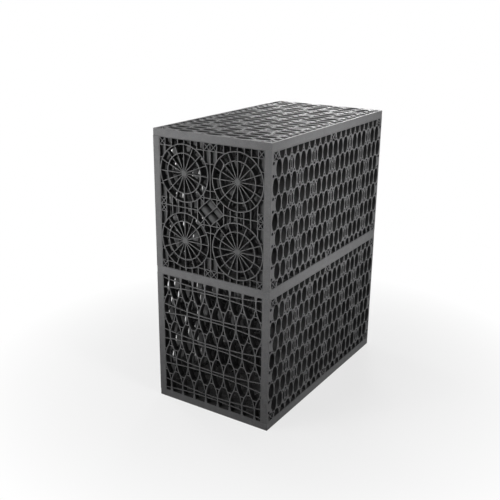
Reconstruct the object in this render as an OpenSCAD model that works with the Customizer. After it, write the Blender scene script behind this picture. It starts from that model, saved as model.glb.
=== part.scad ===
// Two-level soakaway crate: moulded lattice plates that clip together into an open box.
// Frame: Z up, X across the width, Y along the length, origin at the middle of the base.

/* [Crate] */
// Width of the crate
crate_w = 400; // [380:5:440]
// Length of the crate
crate_l = 715; // [660:5:780]
// Height of the standing plates of one level
level_h = 400; // [380:5:440]
// Thickness of every plate
plate_t = 20; // [19:0.5:24]
// Chamfer on the corners of the large plates
corner_c = 1; // [0.5:0.5:5]
// Clearance between a small plate and the side plates
side_gap = 0.3; // [0.1:0.1:0.5]

/* [Large plate] */
// Pitch of the openings along the plate
big_pitch = 33.6; // [33:0.2:36]
// Pitch of the rows across the plate
big_row = 48.9; // [48:0.1:52]
// Width of an opening
big_hole_w = 30.2; // [26:0.2:31]
// Height of an opening
big_hole_h = 50.4; // [46:0.2:51]
// Height of the lens that the side arcs of an opening make, over the opening's height
big_tip = 1.25; // [1.1:0.01:1.28]
// Web between an opening and the small holes at its tips
big_web = 2.6; // [2:0.1:3.2]
// Radius of the small holes between three openings
dot_r = 3; // [1.5:0.1:3.2]
// Border along the long edges
edge_border = 6; // [4:0.5:9]
// Border along the short edges
end_border = 5; // [4:0.5:6]
// Width of a cross-braced cell
cell_w = 25; // [20:0.5:28]
// Thickness of its diagonal ribs
cell_rib = 2.25; // [2:0.25:4]
// Radius of the drain holes in the end plugs
plug_hole_r = 5; // [3:0.25:5.5]
// Distance of those holes from the middle of the plug
plug_hole_at = 17.5; // [17:0.25:19]

/* [Sockets and tabs] */
// Width of the upright bar in a socket opening
boss_w = 12; // [9:0.5:13]
// Height of the slots on both sides of that bar
socket_h = 28; // [24:0.5:40]
// Radius of the holes over and under that bar
tip_hole_r = 3.5; // [2:0.1:4]
// Thickness of a tab of a small plate
tab_t = 5; // [4:0.5:6]
// Width of a tab along its edge
tab_w = 20; // [14:0.5:21]
// Length of a tab
tab_l = 8; // [5:0.5:8.5]
// Clearance round a tab in its pocket
tab_gap = 0.3; // [0.1:0.05:0.5]

/* [Small plate] */
// Pitch of the openings across the plate
small_pitch = 44.5; // [43:0.5:48]
// Pitch of the rows
small_row = 86; // [84:0.5:92]
// Width of an opening
small_hole_w = 41.5; // [38:0.5:42]
// Height of an opening
small_hole_h = 96; // [90:0.5:98]
// Height of the lens that the side arcs of an opening make, over the opening's height
small_tip = 1.2; // [1.1:0.01:1.22]
// Web round the three-sided holes
small_web = 2.5; // [2:0.1:3.5]
// Border round the plate
small_border = 3; // [2.5:0.1:6]
// Width of a tie rib
tie_w = 3; // [2:0.25:4]
// Depth of a tie rib
tie_d = 4; // [2:0.5:8]
// Set-back of the thin ribs from the outer face
rib_back = 0.8; // [0.4:0.1:2]
// Distance between the two tie ribs of a row at mid-width
tie_gap = 9; // [7:0.5:14]
// Distance between them at the border
tie_spread = 32; // [26:0.5:40]

/* [Pipe plate] */
// Sideways distance between two knock-outs
pipe_dx = 182.8; // [180:0.2:186]
// Upright distance between two knock-outs
pipe_dz = 201.2; // [196:0.2:206]
// Middle radius of the ring for the large pipe
pipe_big_r = 84; // [80:0.5:85]
// Middle radius of the ring for the small pipe
pipe_small_r = 58.4; // [50:0.2:62]
// Wall of the rings
ring_w = 2.8; // [2.5:0.1:4]
// Spokes of a knock-out
spokes = 16; // [8:4:20]
// Width of spokes and grid ribs
rib_w = 2.4; // [2:0.1:4]
// Depth of spokes and grid ribs
rib_d = 14; // [6:0.5:15]
// Radius of the hub where the spokes meet
hub_r = 6; // [4:0.25:12]
// Pitch of the grid ribs
grid_pitch = 22.5; // [22:0.1:23]
// Height of the cross-braced cells of the pipe plate
brace_h = 21.5; // [19:0.5:24]
// Height of the inner row of short ribs over mid-height
short_low = 62; // [58:0.5:66]
// Height of the outer row of short ribs over mid-height
short_high = 139; // [134:0.5:144]
// Thickness of the closed floors
floor_t = 3; // [2:0.25:4]
// Set-back of the closed floors from the outer face
floor_back = 8; // [2:0.25:15]
// Half width of the middle diamond
gem_w = 45; // [42:0.5:47]
// Half height of the middle diamond
gem_h = 40; // [38:0.5:42]
// Set-back of the round bars in the diamond
gem_back = 5; // [1:0.25:8]

/* [Hidden] */
$fn = 144;
plastic = [0.2, 0.2, 0.21];
pipe_plastic = [0.24, 0.24, 0.25];
// Overlap of pieces that are one moulding
fuse = 1;

half_pitch = big_pitch / 2;
big_cols = ceil(crate_l / 2 / half_pitch);
// Socket columns, counted in half pitches from the middle of the plate
socket_cols = [-15, -12, -7, 0, 7, 12, 15];
// The socket column that an inner plate stands in
inner_col = 7;
inner_y = inner_col * half_pitch;
end_y = crate_l / 2 - plate_t / 2;
small_w = crate_w - 2 * plate_t - 2 * side_gap;
level_z = [plate_t, 2 * plate_t + level_h];
pocket_t = tab_t + 2 * tab_gap;
pocket_w = tab_w + 2 * tab_gap;
pocket_d = tab_l + tab_gap;
half_small = small_pitch / 2;
tie_sag = (tie_spread - tie_gap) / 2;
tie_r = (small_w * small_w / 4 + tie_sag * tie_sag) / (2 * tie_sag);
brace_x = floor((small_w / 2 - small_border) / grid_pitch) * grid_pitch;
brace_z = level_h / 2 - small_border - brace_h;
knock_outs = [for (sx = [-1, 1]) for (sz = [-1, 1]) [sx * pipe_dx / 2, sz * pipe_dz / 2]];

function is_odd(n) = abs(n) % 2 == 1;
function is_socket(c) = len([for (s = socket_cols) if (s == c) s]) > 0;
// Index of the outermost row, whose openings the border cuts
function row_count(wid, row, h) = floor((wid / 2 + h / 4) / row);
function big_rows(wid) = row_count(wid, big_row, big_hole_h);
// Rows whose sockets take the tabs
function tab_rows(wid) = let (n = big_rows(wid))
    [for (j = [1 - n : n - 1]) if (is_odd(j + n)) j * big_row];
// Width between two neighbouring openings at height y over their row
function gap_at(p, w, h, y) = p - w * sqrt(max(0, 1 - pow(2 * y / h, 2)));

module chamfered(l, w, c) {
    x = l / 2;
    y = w / 2;
    polygon([
        [x - c, -y], [x, c - y], [x, y - c], [x - c, y],
        [c - x, y], [-x, y - c], [-x, c - y], [c - x, -y]
    ]);
}

// Opening bounded by two long side arcs, whose lens is higher than it by a factor, and two end arcs
module oval(w, h, factor) {
    tip = h / 2 * factor;
    r = (w * w / 4 + tip * tip) / w;
    intersection() {
        translate([r - w / 2, 0]) circle(r);
        translate([w / 2 - r, 0]) circle(r);
        circle(h / 2);
    }
}

// Rectangular opening with a diagonal cross
module cross_cell(w, h, rib) {
    difference() {
        square([w, h], center = true);
        for (s = [-1, 1])
            rotate(s * atan2(h, w)) square([w + h, rib], center = true);
    }
}

// Socket in an opening: a bar with a pocket right through it, a slot on each side, a hole at each tip
module socket() {
    difference() {
        intersection() {
            oval(big_hole_w, big_hole_h, big_tip);
            square([big_hole_w, socket_h], center = true);
        }
        square([boss_w, socket_h + 2 * fuse], center = true);
    }
    square([pocket_t, pocket_w], center = true);
    for (s = [-1, 1])
        translate([0, s * (big_hole_h / 2 - tip_hole_r)]) circle(tip_hole_r);
}

module big_opening(c) {
    if (is_socket(c))
        socket();
    else
        oval(big_hole_w, big_hole_h, big_tip);
}

module big_full_rows(wid) {
    n = big_rows(wid);
    dot_at = big_hole_h / 2 + big_web + dot_r;
    for (j = [1 - n : n - 1])
        for (c = [-big_cols : big_cols]) {
            at = abs(c) * half_pitch + big_hole_w / 2;
            room = crate_l / 2 - (is_odd(c) ? plate_t : end_border);
            if (is_odd(c) == is_odd(j + n) && at <= room)
                translate([c * half_pitch, j * big_row]) {
                    big_opening(c);
                    for (s = [-1, 1])
                        translate([0, s * dot_at]) circle(dot_r);
                }
        }
}

// Openings that the long borders cut, with cross-braced cells at the middle and the ends
module big_edge_rows(wid) {
    n = big_rows(wid);
    last = 2 * floor((crate_l / 2 - end_border - big_hole_w / 2) / big_pitch);
    low = n * big_row - big_hole_h / 2;
    high = wid / 2 - edge_border;
    for (s = [-1, 1]) {
        intersection() {
            translate([0, s * high / 2]) square([crate_l, high], center = true);
            for (c = [2 - last : 2 : last - 2])
                if (c != 0)
                    translate([c * half_pitch, s * n * big_row]) oval(big_hole_w, big_hole_h, big_tip);
        }
        for (c = [-last, 0, last])
            translate([c * half_pitch, s * (low + high) / 2])
                cross_cell(cell_w, high - low, cell_rib);
    }
}

module big_plug_holes(wid) {
    for (x = [-end_y, end_y])
        for (y = tab_rows(wid))
            for (s = [-1, 1])
                translate([x, y + s * plug_hole_at]) circle(plug_hole_r);
}

// Pockets in the end plugs for the tabs of the end plates, sunk into the face at height 0
module pockets(wid) {
    for (x = [-end_y, end_y])
        for (y = tab_rows(wid))
            translate([x - pocket_t / 2, y - pocket_w / 2, -fuse])
                cube([pocket_t, pocket_w, pocket_d + fuse]);
}

// Lying on the XY plane, with pockets in the lower and the upper face as asked for
module large_plate(wid, low_pockets, high_pockets) {
    difference() {
        linear_extrude(plate_t)
            difference() {
                chamfered(crate_l, wid, corner_c);
                big_full_rows(wid);
                big_edge_rows(wid);
                big_plug_holes(wid);
            }
        if (low_pockets)
            pockets(wid);
        if (high_pockets)
            translate([0, 0, plate_t]) mirror([0, 0, 1]) pockets(wid);
    }
}

// A large plate lying flat with its underside at height z
module flat_plate(z, low_pockets, high_pockets) {
    color(plastic)
        translate([0, 0, z]) rotate(90)
            large_plate(crate_w, low_pockets, high_pockets);
}

// A large plate standing on its long edge: side -1 is the left, 1 the right
module side_plate(z, side) {
    x = side < 0 ? -crate_w / 2 : crate_w / 2 - plate_t;
    color(plastic)
        translate([x, 0, z + level_h / 2]) rotate([90, 0, 90])
            large_plate(level_h, side > 0, side < 0);
}

module small_window() {
    square([small_w - 2 * small_border, level_h - 2 * small_border], center = true);
}

// Three-sided holes over and under an opening of the small plate
module small_tri() {
    top = small_row - small_hole_h / 2 - small_web;
    narrow = min(1, (small_pitch - 2 * small_web) / small_hole_w);
    low = max(small_web / 2, small_hole_h / 2 * sqrt(1 - pow(narrow, 2)));
    half = gap_at(small_pitch, small_hole_w, small_hole_h, top) / 2 - 1.3 * small_web;
    for (s = [-1, 1])
        polygon([
            [-half, s * (small_row - top)], [half, s * (small_row - top)], [0, s * (small_row - low)]
        ]);
}

module small_openings() {
    n = row_count(level_h, small_row, small_hole_h);
    cols = floor((small_w / 2 - small_border) / half_small + 0.5);
    intersection() {
        small_window();
        for (j = [-n : n])
            for (c = [-cols : cols])
                if (is_odd(c) == is_odd(j))
                    translate([c * half_small, j * small_row]) {
                        oval(small_hole_w, small_hole_h, small_tip);
                        small_tri();
                    }
    }
}

// Pairs of bowed ribs that tie the openings of each row together
module tie_ribs() {
    n = row_count(level_h, small_row, small_hole_h);
    intersection() {
        square([small_w - small_border, level_h - small_border], center = true);
        for (j = [-n : n])
            for (s = [-1, 1])
                translate([0, j * small_row + s * (tie_gap / 2 + tie_r)])
                    difference() {
                        circle(tie_r + tie_w / 2);
                        circle(tie_r - tie_w / 2);
                    }
    }
}

// Tabs on all four edges, in the middle of the plate's thickness
module tabs() {
    z = (plate_t - tab_t) / 2;
    reach = small_w / 2 - tab_w;
    for (s = [-1, 1]) {
        for (y = tab_rows(level_h))
            translate([s * (small_w / 2 + (tab_l + side_gap - fuse) / 2), y, z + tab_t / 2])
                cube([tab_l - side_gap + fuse, tab_w, tab_t], center = true);
        for (x = tab_rows(crate_w))
            if (abs(x) < reach)
                translate([x, s * (level_h / 2 + (tab_l - fuse) / 2), z + tab_t / 2])
                    cube([tab_w, tab_l + fuse, tab_t], center = true);
    }
}

// Standard small plate, lying with its outer face up
module small_plate(tied) {
    linear_extrude(plate_t)
        difference() {
            square([small_w, level_h], center = true);
            small_openings();
        }
    if (tied)
        translate([0, 0, plate_t - rib_back - tie_d]) linear_extrude(tie_d) tie_ribs();
    tabs();
}

module ring(r) {
    difference() {
        circle(r + ring_w / 2);
        circle(r - ring_w / 2);
    }
}

module at_knock_outs() {
    for (k = knock_outs)
        translate(k) children();
}

module bar_x(z, l) {
    translate([0, z]) square([l, rib_w], center = true);
}

// Grid ribs between the knock-outs and the border
module pipe_grid() {
    n = floor((small_w / 2 - small_border) / grid_pitch);
    wide = small_w - small_border;
    difference() {
        union() {
            for (i = [-n : n])
                translate([i * grid_pitch, 0])
                    square([rib_w, level_h - small_border], center = true);
            bar_x(0, wide);
            for (s = [-1, 1]) {
                bar_x(s * brace_z, wide);
                bar_x(s * short_low, wide);
                bar_x(s * short_high, wide);
                bar_x(s * gem_h, 3 * grid_pitch);
            }
        }
        at_knock_outs() circle(pipe_big_r);
        gem(0);
    }
}

module pipe_star() {
    for (i = [0 : spokes / 2 - 1])
        rotate(i * 360 / spokes) square([2 * pipe_big_r, rib_w], center = true);
    circle(hub_r);
}

// Diagonal crosses in the corners, at mid-height and over and under the middle
module pipe_crosses() {
    outer_x = (brace_x + small_w / 2 - small_border) / 2;
    outer_w = small_w / 2 - small_border - brace_x + rib_w;
    outer_z = (brace_z + level_h / 2 - small_border) / 2;
    for (sx = [-1, 1])
        for (sz = [-1, 1]) {
            translate([sx * outer_x, sz * outer_z]) cross_bars(outer_w, brace_h + rib_w);
            translate([sx * outer_x, sz * brace_h / 2]) cross_bars(outer_w, brace_h + rib_w);
            translate([sx * grid_pitch / 2, sz * outer_z]) cross_bars(grid_pitch, brace_h + rib_w);
        }
    for (s = [-1, 1])
        translate([s * outer_x, 0]) {
            translate([0, brace_h]) square([outer_w + rib_w, rib_w], center = true);
            translate([0, -brace_h]) square([outer_w + rib_w, rib_w], center = true);
        }
}

module cross_bars(w, h) {
    for (s = [-1, 1])
        rotate(s * atan2(h, w)) square([norm([w, h]) - rib_w, rib_w], center = true);
}

// Closed floors beside the crosses
module pipe_floors() {
    outer_w = small_w / 2 - brace_x;
    difference() {
        for (sx = [-1, 1])
            for (sz = [-1, 1]) {
                translate([sx * (small_w / 2 - outer_w / 2 - fuse), sz * (short_high + brace_z) / 2])
                    square([outer_w, brace_z - short_high], center = true);
                translate([sx * (small_w / 2 - outer_w / 2 - fuse), sz * (brace_h + short_low) / 2])
                    square([outer_w, short_low - brace_h], center = true);
                translate([0, sz * (short_high + brace_z) / 2])
                    square([2 * grid_pitch, brace_z - short_high], center = true);
            }
        at_knock_outs() circle(pipe_big_r);
    }
}

// Diamond in the middle of the pipe plate, drawn in by a margin
module gem(m) {
    w = gem_w - m * norm([gem_w, gem_h]) / gem_h;
    h = gem_h - m * norm([gem_w, gem_h]) / gem_w;
    polygon([[w, 0], [0, h], [-w, 0], [0, -h]]);
}

// Walls of the diamond, its middle rib and the stays to the knock-outs
module gem_ribs() {
    a = atan2(gem_h, gem_w);
    difference() {
        gem(-rib_w / 2);
        gem(rib_w / 2);
    }
    rotate(a) square([norm([gem_w, gem_h]), rib_w], center = true);
    difference() {
        for (s = [-1, 1])
            rotate(s * atan2(pipe_dz, pipe_dx))
                square([norm([pipe_dx, pipe_dz]) - 2 * pipe_big_r + ring_w, rib_w], center = true);
        gem(0);
    }
}

// Two round bars that close the diamond
module gem_bars() {
    side = norm([gem_w, gem_h]);
    apart = gem_w * gem_h / side / 2;
    bar_r = apart + fuse / 2;
    z = plate_t - gem_back - bar_r;
    low = max(0, z);
    intersection() {
        translate([0, 0, low]) linear_extrude(plate_t - gem_back - low) gem(0);
        for (s = [-1, 1])
            rotate(-atan2(gem_h, gem_w))
                translate([-side, s * apart, z]) rotate([0, 90, 0]) cylinder(r = bar_r, h = 2 * side);
    }
}

// End plate with four knock-outs for pipes, lying with its outer face up
module pipe_plate() {
    linear_extrude(plate_t) {
        difference() {
            square([small_w, level_h], center = true);
            small_window();
        }
        intersection() {
            square([small_w, level_h], center = true);
            at_knock_outs() {
                ring(pipe_big_r);
                ring(pipe_small_r);
            }
        }
    }
    translate([0, 0, plate_t - rib_back - rib_d]) linear_extrude(rib_d) {
        pipe_grid();
        at_knock_outs() pipe_star();
        pipe_crosses();
        gem_ribs();
    }
    translate([0, 0, plate_t - floor_back - floor_t]) linear_extrude(floor_t) pipe_floors();
    gem_bars();
    tabs();
}

// Stands a small plate up in a level: its middle at y, its outer face to the front or rear
module stand(y, z, rear) {
    s = rear ? 1 : -1;
    translate([0, y - s * plate_t / 2, z + level_h / 2])
        rotate([90, 0, rear ? 180 : 0]) children();
}

module end_plate(y, z, rear) {
    color(plastic)
        stand(y, z, rear) small_plate(true);
}

module inner_plate(y, z, rear) {
    color(plastic)
        stand(y, z, rear) small_plate(false);
}

module pipe_end_plate(y, z) {
    color(pipe_plastic)
        stand(y, z, false) pipe_plate();
}

module bottom_plate() { flat_plate(0, false, true); }
module middle_plate() { flat_plate(plate_t + level_h, true, true); }
module top_plate() { flat_plate(2 * (plate_t + level_h), true, false); }
module lower_left_side() { side_plate(level_z[0], -1); }
module lower_right_side() { side_plate(level_z[0], 1); }
module upper_left_side() { side_plate(level_z[1], -1); }
module upper_right_side() { side_plate(level_z[1], 1); }
module lower_front_end() { end_plate(-end_y, level_z[0], false); }
module lower_rear_end() { end_plate(end_y, level_z[0], true); }
module upper_front_end() { pipe_end_plate(-end_y, level_z[1]); }
module upper_rear_end() { end_plate(end_y, level_z[1], true); }
module lower_inner_front() { inner_plate(-inner_y, level_z[0], false); }
module lower_inner_rear() { inner_plate(inner_y, level_z[0], true); }
module upper_inner_front() { inner_plate(-inner_y, level_z[1], false); }
module upper_inner_rear() { inner_plate(inner_y, level_z[1], true); }

bottom_plate();
middle_plate();
top_plate();
lower_left_side();
lower_right_side();
upper_left_side();
upper_right_side();
lower_front_end();
lower_rear_end();
upper_front_end();
upper_rear_end();
lower_inner_front();
lower_inner_rear();
upper_inner_front();
upper_inner_rear();
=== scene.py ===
import math
from typing import NamedTuple

import bpy
from mathutils import Matrix, Vector


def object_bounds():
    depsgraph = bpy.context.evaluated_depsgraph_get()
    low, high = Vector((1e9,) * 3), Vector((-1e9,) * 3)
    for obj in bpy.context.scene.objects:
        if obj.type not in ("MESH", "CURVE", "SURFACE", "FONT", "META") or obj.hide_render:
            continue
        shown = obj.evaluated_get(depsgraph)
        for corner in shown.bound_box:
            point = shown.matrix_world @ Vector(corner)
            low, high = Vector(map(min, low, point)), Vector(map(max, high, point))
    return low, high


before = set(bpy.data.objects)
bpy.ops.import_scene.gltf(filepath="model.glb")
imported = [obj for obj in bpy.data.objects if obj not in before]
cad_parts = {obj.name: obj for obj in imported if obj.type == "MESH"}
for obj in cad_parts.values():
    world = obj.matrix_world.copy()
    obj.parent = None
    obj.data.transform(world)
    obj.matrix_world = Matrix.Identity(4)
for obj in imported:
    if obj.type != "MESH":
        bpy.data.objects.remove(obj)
cad_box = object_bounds()


class Layer(NamedTuple):
    """A noise, the range of it that counts, and what the two ends of that range become."""

    scale: float
    detail: float
    rough: float
    start: float
    end: float
    first: float = 0.0
    last: float = 1.0


class Lamp(NamedTuple):
    """A round soft box: its place, what it is aimed at, its size, spread in degrees and power."""

    name: str
    at: tuple
    aim: tuple
    size: float
    spread: float
    power: float


# Camera, fitted to the crate's own corners in the photograph
CAMERA_AT = (1.2017, -2.0371, 1.2333)
TURN = math.radians(-32.43)
TILT = math.radians(18.84)
ROLL = math.radians(0.61)
LENS = 54.6
SENSOR = 36.0
CLIP_START = 0.05
CLIP_END = 60

# Charcoal polypropylene, as linear colour
CHARCOAL = (0.150, 0.150, 0.152)
ROUGHNESS = 0.50
ROUGHNESS_SWING = 0.07
IOR = 1.49
SPECULAR = 0.15

# Painted shade: tone of the inner faces over the tone of the outer skin, and the depths under the
# box's faces between which it comes in
PAINTED_SHADE_TONE = 0.28
SHADE_DEPTH_START = 0.0005
SHADE_DEPTH_FULL = 0.003
# Painted shade by facing: how far a face of the pipe plate looks outward, and the share of the
# painted inner shade that it keeps
FACING_SHADE_START, FACING_SHADE_END = 0.75, 1.0
FACING_SHADE_FIRST, FACING_SHADE_LAST = 1.0, 0.40

# Marks on the plastic, with their tone over the plastic's own
CLOUDS = Layer(5.0, 3.0, 0.5, 0.3, 0.7)
CLOUD_LOW, CLOUD_HIGH = 0.86, 1.06
MOTTLE = Layer(46.0, 4.0, 0.6, 0.35, 0.65, 0.0, 0.35)
MOTTLE_TONE = 1.22
STREAKS = Layer(1.0, 4.0, 0.6, 0.35, 0.65, 0.0, 0.30)
STREAK_TONE = 1.25
SPECKS = Layer(480.0, 1.0, 0.5, 0.62, 0.70, 0.0, 0.40)
SPECK_TONE = 1.8
RUBS = Layer(17.0, 9.0, 0.72, 0.57, 0.66, 0.0, 0.30)
RUB_TONE = 1.6

# Worn edges, paler for wear and for a painted highlight: reach, the agreement of normals where this
# starts and is full, its share and tone
EDGE_RADIUS = 0.0012
EDGE_SAMPLES = 4
EDGE_START, EDGE_FULL = 0.99, 0.80
SCUFF = Layer(38.0, 5.0, 0.7, 0.42, 0.66, 0.25, 1.0)
EDGE_WEAR_AND_HIGHLIGHT_SHARE = 0.55
EDGE_WEAR_AND_HIGHLIGHT_TONE = 1.9
EDGE_ROUGHNESS = 0.12

# Dust: how far a face has to look up, its share and colour
LEVEL_START, LEVEL_FULL = 0.6, 0.95
DUST = Layer(24.0, 4.0, 0.65, 0.40, 0.72, 0.0, 0.10)
DUST_COLOUR = (0.33, 0.32, 0.305)
DUST_ROUGHNESS = 0.9

GLOSS = Layer(60.0, 3.0, 0.5, 0.3, 0.7, ROUGHNESS - ROUGHNESS_SWING, ROUGHNESS + ROUGHNESS_SWING)

# Grain of the tool and sink marks: scale, detail and roughness of the noise, strength, height
GRAIN = (1400.0, 2.0, 0.6)
GRAIN_STRENGTH, GRAIN_HEIGHT = 0.35, 0.0004
SINK = (110.0, 2.0, 0.5)
SINK_STRENGTH, SINK_HEIGHT = 0.22, 0.0015

# Stretch of the streaks, short along the way the melt ran
FLOW_LENGTH = (40.0, 2.5, 40.0)
FLOW_WIDTH = (4.0, 40.0, 30.0)
FLOW_HEIGHT = (30.0, 30.0, 4.0)
# The way that the pipe plate looks
PIPE_END = (0, -1, 0)

# Sockets of a large plate: rows, columns of the even and of the odd rows, half width and half height
SOCKET_ROW = 0.0489
EVEN_COLUMNS = (0.0, 0.2016)
ODD_COLUMNS = (0.1176, 0.2520)
SOCKET_HALF_WIDTH = 0.0148
SOCKET_HALF_HEIGHT = 0.0250
# Soft rim of a socket, as a share of its half size squared
RIM_START, RIM_END = 0.85, 1.0
# Heights over the middle of a socket where its bar ends and its tip starts
BAR_END, TIP_START = 0.0125, 0.0150
# Share of the painted shade on the bar of a socket and at its tips
BAR_SHARE = 0.20
TIP_SHARE = 0.80
# Beyond this distance from the middle of a plate there are none
SOCKET_REACH = 0.171
# Middle of the lower level, and the step to the upper one
LEVEL_MIDDLE = 0.22
LEVEL_STEP = 0.42

# Floor: size, tone to the eye and to soft light
FLOOR_RADIUS = 40
FLOOR_CORNERS = 96
FLOOR_SEEN = (0.92, 0.92, 0.92)
FLOOR_BOUNCE = (0.22, 0.22, 0.22)
# Least share of plain white in it, at the foot of the object, and where the fade starts and ends
FLOOR_WHITE = 0.72
FADE_START, FADE_END = 0.30, 1.0

WHITE = (1.0, 1.0, 1.0)
# Strength of the world's soft light
AMBIENT = 0.03
# Soft boxes, two on the end with the knock-outs, one on each other side and one over the top
LAMPS = (
    Lamp("front_key", (-1.3, -2.0, 1.15), (-0.10, -0.36, 0.63), 0.9, 38, 2.1),
    Lamp("front_fill", (-1.6, -1.5, 1.0), (-0.1, -0.3, 0.7), 0.8, 50, 1.6),
    Lamp("right", (2.1, -0.45, 1.5), (0.2, -0.03, 0.71), 1.0, 36, 3.4),
    Lamp("left", (-2.1, 0.6, 1.3), (-0.2, 0.0, 0.6), 1.0, 40, 1.8),
    Lamp("rear", (-0.9, 2.2, 1.2), (0.0, 0.36, 0.62), 0.9, 40, 1.8),
    Lamp("over", (0.1, 1.0, 3.0), (0.0, 0.15, 0.8), 1.4, 50, 0.4),
)


def aimed_camera():
    """Places the camera of the photograph's view."""
    forward = Vector((
        math.sin(TURN) * math.cos(TILT),
        math.cos(TURN) * math.cos(TILT),
        -math.sin(TILT),
    ))
    level = forward.cross(Vector((0, 0, 1))).normalized()
    rise = level.cross(forward)
    right = math.cos(ROLL) * level + math.sin(ROLL) * rise
    up = math.cos(ROLL) * rise - math.sin(ROLL) * level
    data = bpy.data.cameras.new("camera")
    data.lens = LENS
    data.sensor_width = SENSOR
    data.clip_start = CLIP_START
    data.clip_end = CLIP_END
    obj = bpy.data.objects.new("camera", data)
    turn = Matrix((right, up, -forward)).transposed().to_4x4()
    obj.matrix_world = Matrix.Translation(CAMERA_AT) @ turn
    bpy.context.scene.collection.objects.link(obj)
    bpy.context.scene.camera = obj


class Nodes:
    """A small helper that adds and joins shader nodes."""

    def __init__(self, tree):
        self.tree = tree
        tree.nodes.clear()

    def add(self, kind, **values):
        made = self.tree.nodes.new(kind)
        for name, value in values.items():
            setattr(made, name, value)
        return made

    def join(self, source, target):
        self.tree.links.new(source, target)

    def put(self, target, value):
        if isinstance(value, bpy.types.NodeSocket):
            self.join(value, target)
        else:
            target.default_value = value

    def math(self, operation, a, b=0.0, clamp=False):
        made = self.add("ShaderNodeMath", operation=operation, use_clamp=clamp)
        self.put(made.inputs[0], a)
        self.put(made.inputs[1], b)
        return made.outputs[0]

    def wrap(self, value, half):
        made = self.add("ShaderNodeMath", operation="WRAP")
        self.join(value, made.inputs[0])
        made.inputs[1].default_value = half
        made.inputs[2].default_value = -half
        return made.outputs[0]

    def vector(self, operation, a, b=(0, 0, 0)):
        made = self.add("ShaderNodeVectorMath", operation=operation)
        self.put(made.inputs[0], a)
        self.put(made.inputs[1], b)
        return made.outputs

    def split(self, vector):
        made = self.add("ShaderNodeSeparateXYZ")
        self.join(vector, made.inputs["Vector"])
        return made.outputs

    def noise(self, where, scale, detail, rough):
        made = self.add("ShaderNodeTexNoise")
        self.join(where, made.inputs["Vector"])
        made.inputs["Scale"].default_value = scale
        made.inputs["Detail"].default_value = detail
        made.inputs["Roughness"].default_value = rough
        return made.outputs["Fac"]

    def stretch(self, where, scale, shift=(0, 0, 0)):
        made = self.add("ShaderNodeMapping")
        self.join(where, made.inputs["Vector"])
        made.inputs["Scale"].default_value = scale
        made.inputs["Location"].default_value = shift
        return made.outputs["Vector"]

    def fit(self, value, low, high, to_low, to_high):
        made = self.add("ShaderNodeMapRange")
        self.join(value, made.inputs["Value"])
        made.inputs["From Min"].default_value = low
        made.inputs["From Max"].default_value = high
        made.inputs["To Min"].default_value = to_low
        made.inputs["To Max"].default_value = to_high
        return made.outputs["Result"]

    def layer(self, where, layer):
        noise = self.noise(where, layer.scale, layer.detail, layer.rough)
        return self.fit(noise, layer.start, layer.end, layer.first, layer.last)

    def mix(self, share, a, b):
        made = self.add("ShaderNodeMix", data_type="RGBA")
        self.put(made.inputs["Factor"], share)
        self.put(made.inputs["A"], a)
        self.put(made.inputs["B"], b)
        return made.outputs["Result"]

    def bump(self, height, normal, strength, distance):
        made = self.add("ShaderNodeBump")
        made.inputs["Strength"].default_value = strength
        made.inputs["Distance"].default_value = distance
        self.join(height, made.inputs["Height"])
        self.join(normal, made.inputs["Normal"])
        return made.outputs["Normal"]


def rgba(colour, factor=1.0):
    return tuple(factor * c for c in colour) + (1.0,)


def box_depth(n, where):
    """Depth under the nearest face of the part's box."""
    low, high = (Vector(corner) for corner in cad_box)
    from_middle = n.vector("SUBTRACT", where, (low + high) / 2)["Vector"]
    sized = n.vector("ABSOLUTE", from_middle)["Vector"]
    under = n.split(n.vector("SUBTRACT", (high - low) / 2, sized)["Vector"])
    return n.math("MINIMUM", n.math("MINIMUM", under["X"], under["Y"]), under["Z"])


def socket_shade(n, where, across):
    """Share of the painted shade on the sockets of a large plate, 0 elsewhere; it stands in for the
    shade of their missing recess.
    """
    part = n.split(where)
    along = n.math("ABSOLUTE", part["Y"])
    wide = part[across]
    if across == "Z":
        wide = n.wrap(n.math("SUBTRACT", wide, LEVEL_MIDDLE), LEVEL_STEP / 2)
    shade = 0.0
    for columns, offset in ((EVEN_COLUMNS, 0.0), (ODD_COLUMNS, SOCKET_ROW)):
        near, far = (n.math("ABSOLUTE", n.math("SUBTRACT", along, at)) for at in columns)
        beside = n.math("DIVIDE", n.math("MINIMUM", near, far), SOCKET_HALF_WIDTH)
        above = n.math("ABSOLUTE", n.wrap(n.math("SUBTRACT", wide, offset), SOCKET_ROW))
        over = n.math("DIVIDE", above, SOCKET_HALF_HEIGHT)
        round_sum = n.math("ADD", n.math("POWER", beside, 2.0), n.math("POWER", over, 2.0))
        inside = n.fit(round_sum, RIM_START, RIM_END, 1.0, 0.0)
        share = n.fit(above, BAR_END, TIP_START, BAR_SHARE, TIP_SHARE)
        shade = n.math("MAXIMUM", shade, n.math("MULTIPLY", inside, share))
    reached = n.math("LESS_THAN", n.math("ABSOLUTE", wide), SOCKET_REACH)
    return n.math("MULTIPLY", shade, reached)


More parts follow.
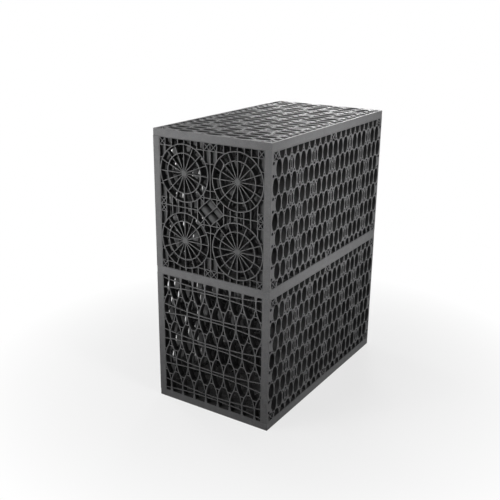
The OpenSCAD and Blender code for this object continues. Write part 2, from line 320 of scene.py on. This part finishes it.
def moulded_plastic(name, shade, flow, shift, outward=None, across=None):
    """Satin moulded polypropylene: streaks, specks, rubs, worn edges with a painted highlight,
    painted shade on inner faces and sockets, dust on ledges, grain.
    """
    # shade darkens a family of plates below the charcoal: painted shade
    colour = [shade * c for c in CHARCOAL]
    material = bpy.data.materials.new(name)
    material.use_nodes = True
    n = Nodes(material.node_tree)
    where = n.add("ShaderNodeTexCoord").outputs["Object"]
    place = n.stretch(where, (1, 1, 1), shift)
    normal = n.add("ShaderNodeNewGeometry").outputs["Normal"]

    # Painted shade: faces deeper under the faces of the box turn dark, and so do the sockets; the
    # outer skin keeps the plastic's tone
    painted_shade = n.fit(box_depth(n, where), SHADE_DEPTH_START, SHADE_DEPTH_FULL, 0.0, 1.0)
    if outward:
        # Painted shade: faces of the pipe plate that turn away from its end keep more of the dark
        # inner tone
        faces_out = n.vector("DOT_PRODUCT", normal, outward)["Value"]
        facing_shade = n.fit(faces_out, FACING_SHADE_START, FACING_SHADE_END, FACING_SHADE_FIRST, FACING_SHADE_LAST)
        painted_shade = n.math("MULTIPLY", painted_shade, facing_shade)
    # Painted shade on the sockets of the large plates, in place of their recess
    if across:
        painted_shade = n.math("MAXIMUM", painted_shade, socket_shade(n, where, across))

    # Slow clouds of tone, mottle, and streaks along the way the melt ran
    tone = n.mix(n.layer(place, CLOUDS), rgba(colour, CLOUD_LOW), rgba(colour, CLOUD_HIGH))
    tone = n.mix(n.layer(place, MOTTLE), tone, rgba(colour, MOTTLE_TONE))
    tone = n.mix(n.layer(n.stretch(place, flow), STREAKS), tone, rgba(colour, STREAK_TONE))

    # Specks of the recycled grey stock, and pale rubs from handling
    tone = n.mix(n.layer(place, SPECKS), tone, rgba(colour, SPECK_TONE))
    tone = n.mix(n.layer(place, RUBS), tone, rgba(colour, RUB_TONE))
    # The painted shade takes the inner faces and the sockets to the dark tone
    tone = n.mix(painted_shade, tone, rgba(colour, PAINTED_SHADE_TONE))

    # Edges: where a rounded normal leaves the face's own; scuffed there, they are paler for wear and
    # for a painted highlight
    round_off = n.add("ShaderNodeBevel", samples=EDGE_SAMPLES)
    round_off.inputs["Radius"].default_value = EDGE_RADIUS
    rounded = round_off.outputs["Normal"]
    agree = n.vector("DOT_PRODUCT", rounded, normal)["Value"]
    edge = n.fit(agree, EDGE_START, EDGE_FULL, 0.0, 1.0)
    wear_and_highlight = n.math("MULTIPLY", edge, n.layer(place, SCUFF))
    # Paler edges: wear together with a painted highlight
    tone = n.mix(n.math("MULTIPLY", wear_and_highlight, EDGE_WEAR_AND_HIGHLIGHT_SHARE), tone, rgba(colour, EDGE_WEAR_AND_HIGHLIGHT_TONE))

    # A breath of dust on faces that look up
    level = n.fit(n.split(normal)["Z"], LEVEL_START, LEVEL_FULL, 0.0, 1.0)
    dust = n.math("MULTIPLY", level, n.layer(place, DUST))
    tone = n.mix(dust, tone, rgba(DUST_COLOUR))

    # Roughness follows the same marks
    rough = n.math("ADD", n.layer(place, GLOSS), n.math("MULTIPLY", wear_and_highlight, EDGE_ROUGHNESS))
    rough = n.math("ADD", rough, n.math("MULTIPLY", dust, DUST_ROUGHNESS), clamp=True)

    # Fine grain of the tool over faint sink marks
    broad = n.bump(n.noise(place, *SINK), rounded, SINK_STRENGTH, SINK_HEIGHT)
    fine = n.bump(n.noise(place, *GRAIN), broad, GRAIN_STRENGTH, GRAIN_HEIGHT)

    skin = n.add("ShaderNodeBsdfPrincipled")
    n.join(tone, skin.inputs["Base Color"])
    n.join(rough, skin.inputs["Roughness"])
    n.join(fine, skin.inputs["Normal"])
    skin.inputs["IOR"].default_value = IOR
    skin.inputs["Specular IOR Level"].default_value = SPECULAR
    out = n.add("ShaderNodeOutputMaterial")
    n.join(skin.outputs["BSDF"], out.inputs["Surface"])
    return material


def seen_directly(n):
    """1 for rays of the camera, of gloss and of glass, 0 for the rays that carry soft light."""
    path = n.add("ShaderNodeLightPath")
    seen = n.math("MAXIMUM", path.outputs["Is Camera Ray"], path.outputs["Is Glossy Ray"])
    return n.math("MAXIMUM", seen, path.outputs["Is Transmission Ray"])


def pale_floor():
    """A wide pale floor: it keeps the object's shadow, and turns white further out."""
    bpy.ops.mesh.primitive_circle_add(vertices=FLOOR_CORNERS, radius=FLOOR_RADIUS, fill_type="NGON")
    floor = bpy.context.object
    floor.name = "floor"
    material = bpy.data.materials.new("pale_floor")
    material.use_nodes = True
    n = Nodes(material.node_tree)
    where = n.add("ShaderNodeTexCoord").outputs["Object"]
    seen = seen_directly(n)
    shade = n.add("ShaderNodeBsdfDiffuse")
    n.join(n.mix(seen, rgba(FLOOR_BOUNCE), rgba(FLOOR_SEEN)), shade.inputs["Color"])
    white = n.add("ShaderNodeEmission")
    white.inputs["Color"].default_value = rgba(WHITE)
    reach = n.vector("LENGTH", where)["Value"]
    away = n.fit(reach, FADE_START, FADE_END, FLOOR_WHITE, 1.0)
    both = n.add("ShaderNodeMixShader")
    n.join(n.math("MULTIPLY", seen, away), both.inputs["Fac"])
    n.join(shade.outputs["BSDF"], both.inputs[1])
    n.join(white.outputs["Emission"], both.inputs[2])
    out = n.add("ShaderNodeOutputMaterial")
    n.join(both.outputs["Shader"], out.inputs["Surface"])
    floor.data.materials.append(material)


def white_world():
    """White to the eye and in reflections, a faint soft light otherwise."""
    world = bpy.data.worlds.new("studio")
    world.use_nodes = True
    bpy.context.scene.world = world
    n = Nodes(world.node_tree)
    back = n.add("ShaderNodeBackground")
    back.inputs["Color"].default_value = rgba(WHITE)
    n.join(n.fit(seen_directly(n), 0.0, 1.0, AMBIENT, 1.0), back.inputs["Strength"])
    out = n.add("ShaderNodeOutputWorld")
    n.join(back.outputs["Background"], out.inputs["Surface"])


def soft_lamp(lamp):
    data = bpy.data.lights.new(lamp.name, "AREA")
    data.shape = "DISK"
    data.size = lamp.size
    data.spread = math.radians(lamp.spread)
    data.energy = lamp.power
    obj = bpy.data.objects.new(lamp.name, data)
    obj.location = lamp.at
    obj.rotation_euler = (Vector(lamp.aim) - Vector(lamp.at)).to_track_quat("-Z", "Y").to_euler()
    bpy.context.scene.collection.objects.link(obj)


aimed_camera()

# Each family of plates has a run of the melt of its own, and a shade which, below the flat plates'
# 1.0, is painted shade
FLAT = moulded_plastic("plastic_flat_plates", 1.0, FLOW_LENGTH, (0.0, 0.0, 0.0), across="X")
SIDE = moulded_plastic("plastic_side_plates", 0.92, FLOW_LENGTH, (3.1, 1.7, 0.4), across="Z")
SMALL = moulded_plastic("plastic_small_plates", 0.88, FLOW_WIDTH, (7.3, 2.9, 5.2))
PIPE = moulded_plastic("plastic_pipe_plate", 0.75, FLOW_HEIGHT, (1.9, 6.1, 8.8), outward=PIPE_END)

for name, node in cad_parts.items():
    if name.endswith("_side"):
        finish = SIDE
    elif name == "upper_front_end":
        finish = PIPE
    elif name.endswith("_plate"):
        finish = FLAT
    else:
        finish = SMALL
    node.data.materials.clear()
    node.data.materials.append(finish)

pale_floor()
white_world()
for lamp in LAMPS:
    soft_lamp(lamp)

scene = bpy.context.scene
scene.view_settings.view_transform = "Standard"
